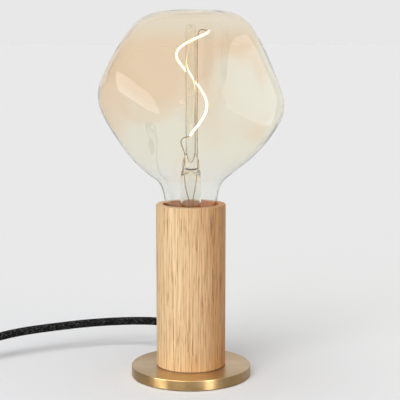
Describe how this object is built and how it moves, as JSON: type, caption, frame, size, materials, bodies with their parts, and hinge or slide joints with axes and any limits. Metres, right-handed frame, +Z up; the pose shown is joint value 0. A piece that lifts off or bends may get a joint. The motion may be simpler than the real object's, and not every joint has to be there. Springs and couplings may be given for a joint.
{
  "type": "table lamp",
  "caption": "Table lamp with a bare, softly faceted amber bulb standing in an oak tube on a round brass base, with a black braided cord, switch and plug.",
  "frame": {"origin": "centre of the underside, on the surface that the lamp stands on", "axes": "+Z up along the tube and bulb, +Y to the back where the cord leaves, the cord lies to -X"},
  "size_m": [0.4354, 0.1672, 0.2841],
  "materials": {
    "felt": "matte",
    "brass_satin": "satin, brushed",
    "oak": "oiled, fine vertical grain",
    "plated_steel": "zinc plated",
    "holder_black": "matte",
    "holder_ceramic": "unglazed",
    "contact_brass": "bright",
    "insulation_brown": "smooth",
    "insulation_blue": "smooth",
    "braid_black": "tight braid",
    "grip_black": "matte",
    "amber_glass": "lustrous amber tint, clear towards the neck",
    "clear_glass": "clear",
    "cap_metal": "bright rolled sheet",
    "cap_insulator": "glossy",
    "contact_solder": "tinned",
    "filament_glow": "glowing when lit",
    "lead_wire": "nickel wire",
    "board": "coated",
    "driver_black": "moulded",
    "switch_black": "fine texture",
    "rocker_black": "smooth",
    "pin_metal": "nickel plated"
  },
  "bodies": {
    "lamp": {"foot_pad": "felt", "base_plate": "brass_satin", "base_screws": "plated_steel", "oak_tube": "oak", "threaded_tube": "plated_steel", "tube_nut": "plated_steel", "tube_washer": "plated_steel", "holder_cap": "holder_black", "holder_grub_screw": "plated_steel", "holder_skirt": "holder_black", "holder_core": "holder_ceramic", "socket_shell": "contact_brass", "centre_contact": "contact_brass", "side_contact": "contact_brass", "terminal_blocks": "contact_brass", "terminal_screws": "plated_steel", "live_wire": "insulation_brown", "neutral_wire": "insulation_blue", "cord_tail": "braid_black", "cord_grip": "grip_black", "cord_grip_screw": "plated_steel", "cord_lead": "braid_black", "cord_feed": "braid_black", "cord_coil": "braid_black", "cord_end": "braid_black", "coil_tie": "felt", "switch_base": "switch_black", "switch_cover": "switch_black", "switch_screws": "plated_steel", "switch_contacts": "contact_brass", "plug_body": "switch_black", "plug_pins": "pin_metal"},
    "cap_contact": {"bulb_contact": "contact_solder"},
    "bulb": {"bulb_glass": "amber_glass", "bulb_cap": "cap_metal", "bulb_insulator": "cap_insulator", "bulb_stem": "clear_glass", "bulb_lead_wires": "lead_wire", "filament_hooks": "lead_wire", "led_filament": "filament_glow", "driver_board": "board", "driver_parts": "driver_black"},
    "rocker": {"switch_rocker": "rocker_black"}
  },
  "joints": [
    {"name": "bulb_lift", "type": "slide", "parent": "lamp", "child": "cap_contact", "axis": [0, 0, 1], "range_m": [0, 0.01452]},
    {"name": "bulb_turn", "type": "hinge", "parent": "cap_contact", "child": "bulb", "pos_m": [0, 0, 0.094], "axis": [0, 0, 1], "range_deg": [0, 1440]},
    {"name": "rocker_tilt", "type": "hinge", "parent": "lamp", "child": "rocker", "pos_m": [-0.2282, -0.01065, 0.014], "axis": [0.6, -0.8, 0], "range_deg": [-18, 0]}
  ],
  "couplings": [
    {"joint": "bulb_lift", "follows": "bulb_turn", "m_per_rad": 0.0005775}
  ]
}
